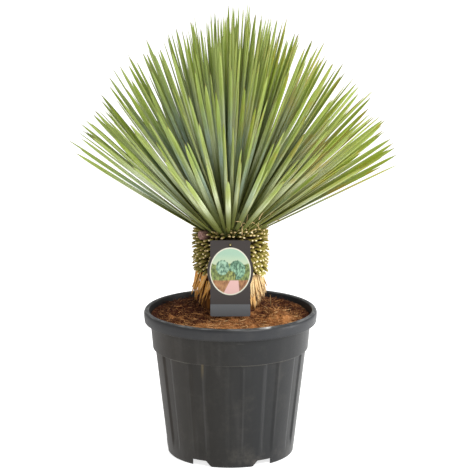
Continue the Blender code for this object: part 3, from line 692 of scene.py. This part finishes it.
for index in range(round(stubs_per_turn * stub_turns)):
    turns = index / stubs_per_turn - turns_above_label_stub
    angle = front + index * math.tau / stubs_per_turn + draw.uniform(-0.022, 0.022)
    height = label_stub_height - turns * stub_turn_pitch + draw.uniform(-0.0016, 0.0016)
    age = max(0.0, turns / (stub_turns - turns_above_label_stub))
    on_right = max(0.0, math.cos(angle)) * age
    tilt = stub_rise * max(0.0, 1 - (turns + turns_above_label_stub) / 4) - stub_droop * age**1.4
    tilt += math.radians(draw.uniform(-8, 8)) - 0.12 * on_right
    reach = stub_reach * (draw.uniform(0.86, 1.0) + 0.10 * on_right)
    size = (draw.uniform(0.85, 1.10) + 0.15 * on_right, draw.uniform(0.85, 1.10) + 0.35 * on_right)
    sideways = math.radians(draw.uniform(-8, 8))
    # Stubs on the right, the older ones most, are paler: partly painted light from that side, partly their
    # own older colour, with a random spread of tone.
    tone = min(1.0, draw.uniform(0, 0.65) + 0.15 * max(0.0, math.cos(angle)) + 0.5 * on_right)
    under_skirt = turns > bare_left_turn and math.cos(angle) < 0.25
    if under_skirt or from_stump(angle, height) < stump_radius + 0.002:
        continue
    if index == round(stubs_per_turn * turns_above_label_stub):
        angle, height, tilt, sideways = front, label_stub_height, 0, 0
        size, reach = label_stub_size, label_stub_reach
    root = around(trunk_radius - stub_root, angle, height)
    along = around(math.cos(tilt), angle + sideways, math.sin(tilt))
    stubs.append(copy_of(stub, stub_place(root, along, size, reach + stub_root), tone))
for index in range(young_stub_count):
    angle = front + index * math.tau / young_stub_count + draw.uniform(-0.05, 0.05)
    height = draw.uniform(*young_stub_heights)
    if from_stump(angle, height) < young_stub_room:
        continue
    tilt = math.radians(draw.uniform(*young_stub_rise))
    root = around(trunk_radius - stub_root, angle, height)
    along = around(math.cos(tilt), angle + draw.uniform(-0.15, 0.15), math.sin(tilt))
    place = stub_place(root, along, young_stub_size, draw.uniform(*young_stub_reach))
    stubs.append(copy_of(stub, place, draw.uniform(0, 0.5)))
stubs = joined("leaf_stubs", stub, stubs)

bark = Finish("trunk_bark")
rind = bark.cloud(70, 5, 0.6, (1, 1, 0.4))
colour = bark.mix(rind.rise(0.3, 0.7), rgb(34, 25, 10), rgb(92, 74, 32))
bark.use(Base_Color=colour, Roughness=0.85, Normal=bark.bump(rind, 0.8, 0.002))
bark.coat(trunk)
trunk.data.shade_smooth()
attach(trunk, "root")
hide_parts("stem")

olive = Finish("leaf_stub")
tone = olive.attribute("tone")
_, reach_along, _ = olive.parts(olive.place(source="UV"))
fibre = olive.cloud(6, 3, 0.6, (3.5, 0.6, 1), "UV")
colour = olive.mix(tone, rgb(72, 56, 10), rgb(154, 138, 46))
lighter = reach_along.rise(0.1, 0.9) * (0.25 + 0.6 * fibre)
colour = olive.mix(lighter, colour, rgb(186, 176, 100))
# Each stub is painted darker towards its root, where the stubs crowd: painted shade.
colour = olive.mix(1 - reach_along.rise(0.15, 0.65), colour, rgb(38, 26, 6))
cut_end = reach_along.rise(0.92, 0.96)
dry_end = olive.mix(tone.rise(0.0, 0.3), rgb(150, 122, 76), rgb(216, 192, 142))
dry_end = olive.mix(tone.rise(0.35, 0.9), dry_end, rgb(244, 232, 194))
colour = olive.mix(cut_end, colour, dry_end)
relief = olive.bump(fibre, 0.35, 0.001)
olive.use(Base_Color=colour, Roughness=0.6, Normal=relief, Specular_IOR_Level=0.3)
olive.coat(stubs)
bpy.ops.object.shade_smooth_by_angle(angle=math.radians(50))
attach(stubs, "root")
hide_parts("stem")

# One old flower stalk has been cut off low between the stubs. Its stump is round and pinkish brown, with a
# pithy, slightly sunken end.
stump = chain("flower_stalk_stump", [
    (0, stump_reach - 0.0008),
    (stump_radius * 0.55, stump_reach - 0.0010),
    (stump_radius * 0.80, stump_reach - 0.0002),
    (stump_radius * 0.94, stump_reach - 0.0016),
    (stump_radius, stump_reach * 0.6),
    (stump_radius, 0),
    (0, 0),
])
turn(stump, 32)
for vertex in stump.data.vertices:
    vertex.co.xy *= 1 + 0.10 * noise.noise(vertex.co * 260)
stump_root = around(trunk_radius - 0.001, stump_angle, stump_height)
outward = around(1, stump_angle, 0.08)
stump.data.transform(Matrix.Translation(stump_root) @ outward.to_track_quat("Z", "Y").to_matrix().to_4x4())
pith = Finish("stump_pith")
grain = pith.cloud(330, 4, 0.65)
colour = pith.mix(grain.rise(0.35, 0.65), rgb(104, 74, 64), rgb(160, 122, 112))
pith.use(Base_Color=colour, Roughness=0.85, Normal=pith.bump(grain, 0.7, 0.001))
pith.coat(stump)
stump.data.shade_smooth()
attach(stump, "root")
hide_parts("stem")

# The skirt is what is left of the oldest leaves: dry, papery strips that hang round the trunk in layers and
# curl outwards, straw-coloured, with torn dark ends. They are painted browner on the shaded left and paler on
# the lit right: painted shade and light.
sleeve_radius = 0.0530
sleeve_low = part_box("dry_leaf_skirt")[0].z
sleeve_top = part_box("dry_leaf_skirt")[1].z
skirt_layers = (  # top, drop, radius at the top, radius at the ends, strips
    (0.3310, 0.044, 0.0550, 0.0672, 60),
    (0.3270, 0.048, 0.0542, 0.0640, 54),
    (0.3160, 0.046, 0.0535, 0.0605, 48),
)
strip_width = (0.0046, 0.0088)
skirt_rise_left = 0.004
skirt_out_left = 0.005
strip_thickness = 0.0009
strip_drops = (0.72, 1.06)
strip_curl = (-0.0004, 0.0022)
strip_twist = 0.7
sleeve = chain("skirt_sleeve", [
    (trunk_radius + 0.0008, sleeve_top - 0.001),
    (sleeve_radius - 0.0006, sleeve_top),
    *[(sleeve_radius, sleeve_top - 0.0012 - (sleeve_top - sleeve_low - 0.0024) * step / 24)
      for step in range(25)],
    (sleeve_radius - 0.0006, sleeve_low),
    (trunk_radius + 0.0008, sleeve_low + 0.001),
    (trunk_radius + 0.0008, sleeve_top - 0.001),
])
turn(sleeve, 240)
for vertex in sleeve.data.vertices:
    radius = math.hypot(vertex.co.x, vertex.co.y)
    if radius > sleeve_radius - 0.0002:
        ridge = noise.noise(Vector((vertex.co.x * 190, vertex.co.y * 190, vertex.co.z * 18)))
        vertex.co.xy *= (radius + 0.0012 * ridge) / radius

strip_models = [
    model_strand("strip", 6, [
        (0, 0.9, 1), (0.2, 1, 1), (0.5, 1, 1), (0.72, 0.86, 0.9), (0.86, 0.55, 0.8), (0.95, 0.22, 0.5)]),
    model_strand("strip", 6, [
        (0, 1, 1), (0.25, 1, 1), (0.55, 0.92, 1), (0.80, 0.84, 0.9), (0.93, 0.72, 0.7), (0.985, 0.5, 0.5)]),
]
draw = random.Random(5)
strips = []


def strip_place(angle, top, drop, radii, width, lean, curl, twist):
    """A function that hangs a strip's points down the trunk, curling out and sideways."""
    def place(point):
        fall = point.z
        radius = radii[0] + (radii[1] - radii[0]) * fall**1.5 + curl * math.sin(fall * math.pi)
        turned = angle + lean * fall**1.2
        centre = around(radius, turned, top - drop * fall)
        roll = twist * fall
        side = around(math.cos(roll), turned + math.pi / 2, 0) + around(math.sin(roll), turned, 0)
        outward = around(1, turned, 0.25)
        cup = -0.9 * (point.x * width) ** 2 / width
        return centre + side * (point.x * width) + outward * (point.y * strip_thickness + cup)
    return place


for top, drop, near, far, count in skirt_layers:
    for index in range(count):
        angle = (index + draw.uniform(-0.4, 0.4)) * math.tau / count
        on_right = 0.5 + 0.5 * math.cos(angle)
        width = draw.uniform(*strip_width) * (0.50 + 0.64 * on_right)
        lean = draw.uniform(-0.12, 0.12) - 0.50 * (1 - on_right) * draw.uniform(0.2, 1.0)
        outward = skirt_out_left * (1 - on_right)
        hung_from = top + skirt_rise_left * (1 - on_right) - draw.uniform(0, 0.004)
        fall = drop * draw.uniform(*strip_drops)
        radii = (near + outward + draw.uniform(-0.0004, 0.0008), far + outward + draw.uniform(-0.007, -0.001))
        curl, twist = draw.uniform(*strip_curl), draw.uniform(-strip_twist, strip_twist)
        place = strip_place(angle, hung_from, fall, radii, width, lean, curl, twist)
        # Strips on the right are paler: painted light from that side, with a random spread of tone.
        tone = min(1.0, max(0.0, 0.10 + 0.75 * on_right + draw.uniform(-0.3, 0.3)))
        strips.append(copy_of(strip_models[draw.randrange(2)], place, tone))
bpy.data.objects.remove(strip_models[1])
strips = joined("skirt_strips", strip_models[0], strips)

# The sleeve under the strips is painted dark brown: painted shade in the gaps between the strips.
husk = Finish("skirt_husk_shade")
ridges = husk.cloud(60, 4, 0.6, (3, 3, 0.4))
colour = husk.mix(ridges.rise(0.35, 0.70), rgb(58, 28, 6), rgb(124, 78, 28))
husk.use(Base_Color=colour, Roughness=0.9, Normal=husk.bump(ridges, 0.8, 0.002), Specular_IOR_Level=0.2)
husk.coat(sleeve)
sleeve.data.shade_smooth()
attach(sleeve, "root")
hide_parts("dry_leaf_skirt")

straw = Finish("straw")
tone = straw.attribute("tone")
_, down, _ = straw.parts(straw.place(source="UV"))
veining = straw.cloud(5, 4, 0.65, (4.5, 0.7, 1), "UV")
colour = straw.mix(tone.rise(0.15, 0.9), rgb(226, 158, 58), rgb(222, 190, 136))
colour = straw.mix(veining.rise(0.45, 0.75) * 0.55, colour, rgb(250, 232, 190))
colour = straw.mix((1 - veining).rise(0.52, 0.72) * 0.7, colour, rgb(120, 72, 26))
colour = straw.mix((down + 0.25 * veining).rise(0.92, 1.14) * 0.8, colour, rgb(96, 58, 26))
straw.use(Base_Color=colour, Roughness=0.62, Normal=straw.bump(veining, 0.5, 0.0012), Specular_IOR_Level=0.3)
straw.coat(strips)
strips.data.shade_smooth()
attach(strips, "root")
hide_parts("dry_leaf_skirt")

# The crown is the rosette of green leaves: stiff, narrow and flat, each ending in a sharp point, and placed
# in the golden-angle spiral in which the plant makes them, the youngest upright in the middle. Narrower
# leaves fill the rows, and a close bud of young ones stands at the top.
leaf_rows = (  # count, seed, oldest, share of the width, share of the length
    (228, 11, 1.0, 1.0, 1.0),
    (120, 12, 0.97, 0.72, 0.94),
    (90, 13, 0.14, 0.66, 0.985),
)
golden_angle = math.pi * (3 - math.sqrt(5))
crown_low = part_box("leaf_crown")[0].z
crown_radius = 0.0520
crown_shoulder = 0.4200
dome_rise = 0.0350
dome_share = 0.55
crown_crowding = 1.12
lowest_rise = math.radians(29.6)
crown_lean = math.radians(3.4)
leaf_lengths = (0.277, 0.341)
length_peak = 2.0
length_spread = 0.04
leaf_width = 0.0102
leaf_thickness = 0.0019
leaf_twist = math.radians(58)
leaf_stray = math.radians(1.7)
leaf_bend = 0.012
leaf_fold = 0.30
leaf_root_turn = 0.6  # a share of the twist
leaf_turn = 0.9
leaf_tail = 0.006  # inside the core


def dome_height(radius):
    """The crown core's height at that radius."""
    return crown_shoulder + dome_rise * math.sqrt(max(0.0, 1 - (radius / crown_radius) ** 2))


def leaf_root(age):
    """Radius and height of a leaf's root. Age is 0 in the bud and 1 at the oldest leaf."""
    if age < dome_share:
        radius = (crown_radius - 0.002) * math.sqrt(age / dome_share)
        return radius, dome_height(radius)
    share = (age - dome_share) / (1 - dome_share)
    return crown_radius, crown_shoulder - share * (crown_shoulder - crown_low - 0.0065)


def crown_leaves(count, seed, oldest, width_share, length_share):
    """Each leaf's root, heading, side, length, width, twist and bend. Its age runs from 0 to oldest."""
    draw = random.Random(seed)
    lean = Matrix.Rotation(crown_lean, 3, "Y")
    for index in range(count):
        age = oldest * (index + 0.5) / count
        radius, height = leaf_root(age)
        angle = index * golden_angle
        root = around(radius, angle, height)
        rise = math.asin(1 - age**crown_crowding * (1 - math.sin(lowest_rise)))
        share = (rise - lowest_rise) / (math.pi / 2 - lowest_rise)
        rise += draw.uniform(-leaf_stray, leaf_stray)
        heading_angle = angle + draw.uniform(-leaf_stray, leaf_stray)
        heading = lean @ around(math.cos(rise), heading_angle, math.sin(rise))
        side = lean @ around(1, heading_angle + math.pi / 2, 0)
        length = leaf_lengths[0] + (leaf_lengths[1] - leaf_lengths[0]) * share**length_peak
        length *= 1 + draw.uniform(-length_spread, length_spread)
        width = leaf_width * draw.uniform(0.86, 1.06) * (0.72 + 0.28 * min(1.0, age * 5))
        twist = draw.uniform(-leaf_twist, leaf_twist)
        bend = draw.uniform(-0.3, 1.0) * leaf_bend
        yield root, heading, side, length * length_share, width * width_share, twist, bend


def leaf_place(root, heading, side, length, width, twist, bend):
    """A function that puts a leaf's points at its place: the model is 1 long, 1 wide and 1 thick."""
    face = heading.cross(side)
    if face.z < 0:
        face = -face

    def place(point):
        along = point.z
        turned = Matrix.Rotation(twist * (leaf_root_turn + leaf_turn * along), 3, heading)
        centre = root + heading * (length * along) + face * (bend * along**2)
        if along < 0.01:
            centre = centre - heading * leaf_tail
        rise = point.y * leaf_thickness + leaf_fold * abs(point.x) * width
        return centre + turned @ (side * (point.x * width) + face * rise)
    return place


leaf = model_strand("leaf", 6, [
    (0.00, 0.62, 1.10), (0.06, 0.66, 1.10), (0.16, 0.80, 1.05), (0.30, 0.94, 1.0), (0.45, 1.00, 1.0),
    (0.60, 0.98, 0.95), (0.74, 0.91, 0.9), (0.84, 0.80, 0.8), (0.91, 0.62, 0.7), (0.96, 0.36, 0.5),
    (0.985, 0.14, 0.3)])
draw = random.Random(4)
leaves = []
for row in leaf_rows:
    for form in crown_leaves(*row):
        leaves.append(copy_of(leaf, leaf_place(*form), draw.random()))
leaves = joined("crown_leaves", leaf, leaves)

foliage = Finish("leaf_green")
tone = foliage.attribute("tone")
u_across, v_along, _ = foliage.parts(foliage.place(source="UV"))
right = foliage.parts(foliage.place())[0]
from_rib = abs(u_across - 0.5) * 2
veins = foliage.cloud(4, 3, 0.6, (3.2, 0.5, 1), "UV")
veins = veins + 0.4 * (tone - 0.5) * foliage.cloud(8, 2, 0.5)
blotch = foliage.cloud(22, 4, 0.6)
tinge = foliage.cloud(16, 4, 0.6).rise(0.50, 0.66)
tinge = tinge * right.rise(-0.10, 0.20) * v_along.rise(0.30, 0.65)
specks = foliage.cloud(380, 2, 0.4).rise(0.72, 0.78)
colour = foliage.mix(tone.rise(0.10, 0.90), rgb(154, 176, 166), rgb(158, 168, 112))
colour = foliage.mix((1 - tone).rise(0.76, 0.92) * 0.8, colour, rgb(68, 86, 26))
colour = foliage.mix(blotch.rise(0.38, 0.70) * 0.5, colour, rgb(122, 140, 72))
# The right side of the crown is tinted olive: partly the older leaves' own colour, partly painted warm light
# from that side.
colour = foliage.mix(right.rise(-0.05, 0.20) * 0.65, colour, rgb(120, 122, 24))
# Pale streaks along the leaves: partly their own pale veins, partly a painted sheen, weaker on the right.
pale = veins.rise(0.46, 0.66) * (0.15 + 0.65 * v_along.rise(0.25, 0.55))
pale = pale * (1 - 0.3 * right.rise(-0.05, 0.15))
colour = foliage.mix(pale, colour, rgb(222, 230, 196))
colour = foliage.mix((1 - veins).rise(0.52, 0.70) * 0.6, colour, rgb(60, 80, 16))
# Each leaf is painted darker towards its base, deep in the crown: painted shade.
colour = foliage.mix((1 - v_along.rise(0.14, 0.62)) * 0.9, colour, rgb(86, 92, 32))
colour = foliage.mix(v_along.rise(0.48, 0.82) * 0.78, colour, rgb(132, 151, 32))
colour = foliage.mix(tinge * 0.5, colour, rgb(160, 124, 40))
colour = foliage.mix(specks * 0.6, colour, rgb(70, 60, 20))
colour = foliage.mix(from_rib.rise(0.80, 0.98) * 0.85, colour, rgb(202, 192, 92))
colour = foliage.mix(v_along.rise(0.965, 1.0), colour, rgb(122, 96, 48))
relief = foliage.bump(veins, 0.3, 0.0006)
foliage.use(Base_Color=colour, Roughness=0.45, Normal=relief, Specular_IOR_Level=0.38)
foliage.coat(leaves)
bpy.ops.object.shade_smooth_by_angle(angle=math.radians(24))
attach(leaves, "root")
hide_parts("leaf_crown")

# A few dry threads have come off the leaf edges. They cling to the crown's foot on the right, and a pale one
# hangs from the trunk to the coir.
thread_count = 18
thread_thickness = 0.0013
thread_heights = (0.403, 0.436)
thread_length = (0.018, 0.044)
thread_curl = 2.0
crown_foot_radius = 0.067
hung_thread_top = (0.070, -0.012, 0.2860)
hung_thread_length = 0.028
thread = model_strand("thread", 3, [(0, 0.6, 0.6), (0.2, 1, 1), (0.4, 1, 1), (0.6, 1, 1), (0.8, 0.9, 0.9)])
draw = random.Random(17)
threads_made = []
for _ in range(thread_count):
    angle = front + math.radians(draw.uniform(12, 60))
    height = draw.uniform(*thread_heights)
    root = around(crown_foot_radius + 0.6 * (height - thread_heights[0]), angle, height)
    along = around(1, angle + draw.uniform(-1.1, 1.1), draw.uniform(0.3, 1.8)).normalized()
    across = along.cross(Vector((0, 0, 1))).normalized()
    length, curl = draw.uniform(*thread_length), draw.uniform(-thread_curl, thread_curl)
    place = curl_along(root, along, across, length, thread_thickness, curl)
    threads_made.append(copy_of(thread, place, draw.uniform(0.8, 1)))
down = Vector((0.06, -0.02, -1)).normalized()
place = curl_along(Vector(hung_thread_top), down, Vector((0, 1, 0)), hung_thread_length, 0.0014, 0.8)
threads_made.append(copy_of(thread, place, 1))
threads_made = joined("dry_threads", thread, threads_made)
straw.coat(threads_made)
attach(threads_made, "root")
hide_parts("leaf_crown")

# The core of the crown is the stem's tender top, a low dome where the leaf bases wrap round each other. It
# shows only between the leaves, and its dark green is painted shade.
core = chain("crown_core", [
    *[(crown_radius * math.sin(math.radians(step)), dome_height(crown_radius * math.sin(math.radians(step))))
      for step in range(0, 91, 10)],
    (crown_radius, crown_low + 0.002),
    (crown_radius - 0.002, crown_low),
    (0, crown_low),
])
turn(core, 64)
core_finish = Finish("crown_core")
colour = core_finish.mix(core_finish.cloud(120, 3, 0.6, (1, 1, 0.3)), rgb(40, 44, 16), rgb(104, 110, 52))
core_finish.use(Base_Color=colour, Roughness=0.8)
core_finish.coat(core)
core.data.shade_smooth()
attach(core, "root")
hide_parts("leaf_crown")

# The label is a printed plastic card that hangs on one leaf stub by its hole and leans on the trunk. A plain
# garden view fills its oval, and the strip at its foot is bare.
card_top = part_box("plant_label")[1].z
card_front = -0.0725
card_width = 0.069
card_height = 0.133
card_thickness = 0.0008
card_corner = 0.003
card_lean = math.radians(2.5)
oval_half = (0.0395, 0.0460)
oval_below_top = 0.054
card_hole = 0.0027
card_hole_below_top = 0.0085
card_steps = 64
view_half = (0.0345, 0.0405)
bare_strip_below_top = 0.1117


def card_half(drop):
    """Half the card's width at that distance below its top."""
    from_end = min(drop, card_height - drop)
    corner = card_corner - math.sqrt(max(0.0, card_corner**2 - max(0.0, card_corner - from_end) ** 2))
    bulge = 1 - ((drop - oval_below_top) / oval_half[1]) ** 2
    return max(card_width / 2 - corner, oval_half[0] * math.sqrt(max(0.0, bulge)))


drops = [card_height * (1 - math.cos(math.pi * step / card_steps)) / 2 for step in range(card_steps + 1)]
right_side = [(card_half(drop), -drop) for drop in drops]
left_side = [(-half, height) for half, height in reversed(right_side)]
card = chain("plant_label", right_side + left_side)
bpy.ops.mesh.select_all(action="SELECT")
bpy.ops.mesh.edge_face_add()
bpy.ops.mesh.extrude_region_move(TRANSFORM_OT_translate={"value": (0, card_thickness, 0)})
bpy.ops.mesh.select_all(action="SELECT")
bpy.ops.mesh.normals_make_consistent(inside=False)
bpy.ops.object.mode_set(mode="OBJECT")
bpy.ops.mesh.primitive_cylinder_add(
    vertices=40, radius=card_hole, depth=cutter_length, location=(0, 0, -card_hole_below_top),
    rotation=(math.pi / 2, 0, 0))
bpy.ops.object.transform_apply(location=True, rotation=True)
cut(card, [bpy.context.object])
card.data.transform(Matrix.Translation((0, card_front, card_top)) @ Matrix.Rotation(-card_lean, 4, "X"))

ink = Finish("label_card")
x_place, _, z_place = ink.parts(ink.place())
middle = card_top - oval_below_top
u = x_place * (1 / view_half[0])
v = (z_place - middle) * (1 / view_half[1])
from_middle = (u**2 + v**2) ** 0.5
wisps = ink.cloud(60, 4, 0.6)
tufts = ink.cloud(240, 3, 0.6, (1, 1, 0.6))
sky = ink.mix(v.rise(0.1, 0.9) + 0.2 * wisps, rgb(186, 194, 160), rgb(150, 180, 158))
hills = (0.34 + 0.5 * (wisps - 0.5) - v).rise(0.0, 0.06)
grass = ink.mix(tufts.rise(0.35, 0.65), rgb(62, 76, 34), rgb(128, 144, 78))
view = ink.mix(hills, sky, grass)
for bush_u, bush_v, bush_size, light, dark in (
        (-0.38, 0.16, 0.34, rgb(150, 184, 158), rgb(70, 104, 84)),
        (0.34, 0.06, 0.42, rgb(138, 178, 148), rgb(56, 92, 70)),
        (0.02, -0.22, 0.26, rgb(146, 152, 82), rgb(66, 76, 32))):
    from_bush = ((u - bush_u) ** 2 + (v - bush_v) ** 2) ** 0.5 + 0.16 * (tufts - 0.5)
    bush = ink.mix(tufts.rise(0.40, 0.62), dark, light)
    view = ink.mix((bush_size - from_bush).rise(0.0, 0.03), view, bush)
ground = (0.10 * (wisps - 0.5) - v - 0.36).rise(0.0, 0.05)
earthy = ink.mix(tufts.rise(0.3, 0.7), rgb(110, 68, 38), rgb(170, 124, 80))
view = ink.mix(ground, view, earthy)
path = (0.10 - v * 0.35 - abs(u - 0.12 - 0.25 * (v + 0.7))).rise(0.0, 0.06) * ground
view = ink.mix(path, view, rgb(206, 166, 160))
strip_top = card_top - bare_strip_below_top
strip = 1 - z_place.rise(strip_top - 0.0005, strip_top + 0.0005)
paper = ink.mix(strip, rgb(37, 28, 24), rgb(82, 84, 87))
paper = ink.mix((1.035 - from_middle).rise(0.0, 0.02), paper, rgb(206, 204, 186))
face = ink.mix((0.985 - from_middle).rise(0.0, 0.02), paper, view)
relief = ink.bump(wisps, 0.05, 0.0005)
ink.use(Base_Color=face, Roughness=0.34 + 0.06 * wisps, Normal=relief)
ink.coat(card)
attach(card, "root")
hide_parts("plant_label")

# The studio: a white floor that runs out of the picture, a broad soft lamp in front on the right, a low one
# at the right side, and a white surround. The camera stands where the photograph was taken from.
bpy.ops.mesh.primitive_plane_add(size=40, location=(0, 8, 0))
studio_floor = bpy.context.object
studio_floor.name = "studio_floor"
floor_finish = Finish("studio_floor")
floor_finish.use(
    Base_Color=rgb(250, 250, 250), Roughness=0.9, Emission_Color=rgb(255, 255, 255), Emission_Strength=0.75)
floor_finish.coat(studio_floor)


def lamp(name, place, size, power):
    """A square soft lamp that faces the plant."""
    light = bpy.data.lights.new(name, "AREA")
    light.size = size
    light.energy = power
    holder = bpy.data.objects.new(name, light)
    bpy.context.collection.objects.link(holder)
    holder.location = place
    holder.rotation_euler = (Vector((0, 0, 0.35)) - holder.location).to_track_quat("-Z", "Y").to_euler()


lamp("key_lamp", (1.6, -2.3, 2.3), 1.1, 74)
lamp("side_lamp", (2.5, -0.3, 0.45), 0.9, 26)
world = bpy.data.worlds.new("studio")
world.use_nodes = True
background = world.node_tree.nodes["Background"].inputs
background["Color"].default_value = (1, 1, 1, 1)
background["Strength"].default_value = 0.56
bpy.context.scene.world = world
bpy.context.scene.view_settings.view_transform = "Standard"

camera_pitch = 11.97
image_width = 470
focal_pixels = 2045
camera = bpy.data.cameras.new("camera")
camera.sensor_width = 36
camera.lens = focal_pixels / image_width * camera.sensor_width
camera.clip_end = 100
viewpoint = bpy.data.objects.new("camera", camera)
bpy.context.collection.objects.link(viewpoint)
viewpoint.location = (0.008, -3.5, 1.1326)
viewpoint.rotation_euler = (math.radians(90 - camera_pitch), 0, 0)
bpy.context.scene.camera = viewpoint

bpy.context.view_layer.update()
